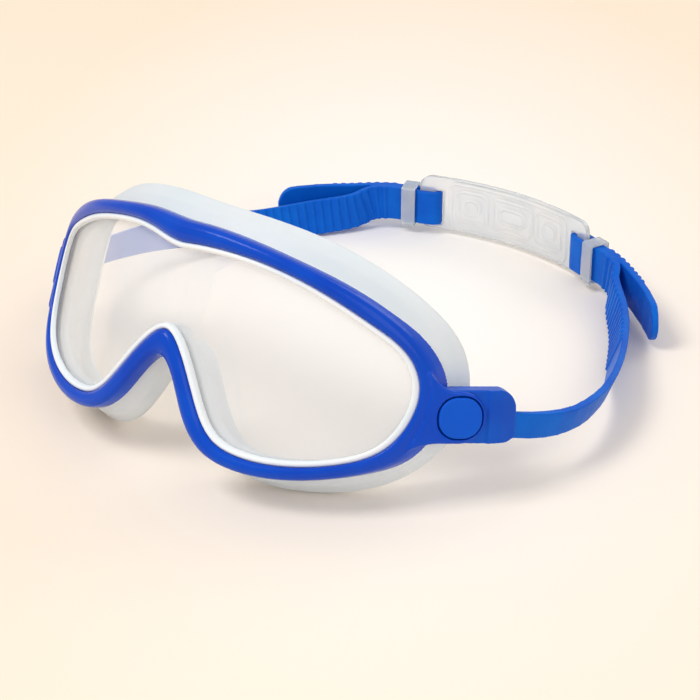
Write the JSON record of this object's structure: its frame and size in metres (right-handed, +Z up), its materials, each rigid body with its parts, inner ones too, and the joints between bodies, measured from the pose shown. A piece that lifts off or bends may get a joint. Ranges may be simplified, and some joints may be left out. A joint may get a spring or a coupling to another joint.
{
  "type": "swim goggles",
  "caption": "Wide single-lens swim goggles with a soft face skirt, quick-release strap clips, a two-part strap and a clear back plate.",
  "frame": {"origin": "centre of the bounding box in plan, on the plane that the goggles rest on", "axes": "+X towards the wearer's left, +Y from the lens to the back plate, +Z up as the goggles stand on a table"},
  "size_m": [0.2044, 0.2026, 0.0777],
  "materials": {
    "frame_blue": "polished translucent blue",
    "button_blue": "satin blue",
    "clip_blue": "polished blue",
    "strap_blue": "matt silicone",
    "clear_lens": "clear, polished",
    "seal": "soft, translucent",
    "soft_clear": "frosted translucent silicone",
    "clear_hard": "clear, slightly frosted",
    "spring_steel": "bright"
  },
  "bodies": {
    "goggles": {"front_frame": "frame_blue", "lens": "clear_lens", "lens_gasket": "seal", "face_skirt": "soft_clear", "skirt_retainer": "clear_hard", "back_plate": "clear_hard", "left_button_spring": "spring_steel", "left_clip_cover": "clip_blue", "left_strap_pin": "spring_steel", "left_clip": "clip_blue", "left_strap": "strap_blue", "right_button_spring": "spring_steel", "right_clip_cover": "clip_blue", "right_strap_pin": "spring_steel", "right_clip": "clip_blue", "right_strap": "strap_blue"},
    "left_button": {"left_release_button": "button_blue"},
    "right_button": {"right_release_button": "button_blue"},
    "left_keeper": {"left_strap_keeper": "clear_hard"},
    "right_keeper": {"right_strap_keeper": "clear_hard"}
  },
  "joints": [
    {"name": "left_button_press", "type": "slide", "parent": "goggles", "child": "left_button", "axis": [-0.749, 0.6054, -0.2693], "range_m": [0, 0.0015], "stiffness_N_per_m": 800, "springref_m": -0.002, "deforming": ["left_button_spring"]},
    {"name": "left_keeper_slide", "type": "slide", "parent": "goggles", "child": "left_keeper", "axis": [0.9348, -0.3551, 0.0062], "range_m": [0, 0.0025]},
    {"name": "right_button_press", "type": "slide", "parent": "goggles", "child": "right_button", "axis": [0.749, 0.6054, -0.2693], "range_m": [0, 0.0015], "stiffness_N_per_m": 800, "springref_m": -0.002, "deforming": ["right_button_spring"]},
    {"name": "right_keeper_slide", "type": "slide", "parent": "goggles", "child": "right_keeper", "axis": [-0.9348, -0.3551, 0.0062], "range_m": [0, 0.0025]}
  ]
}
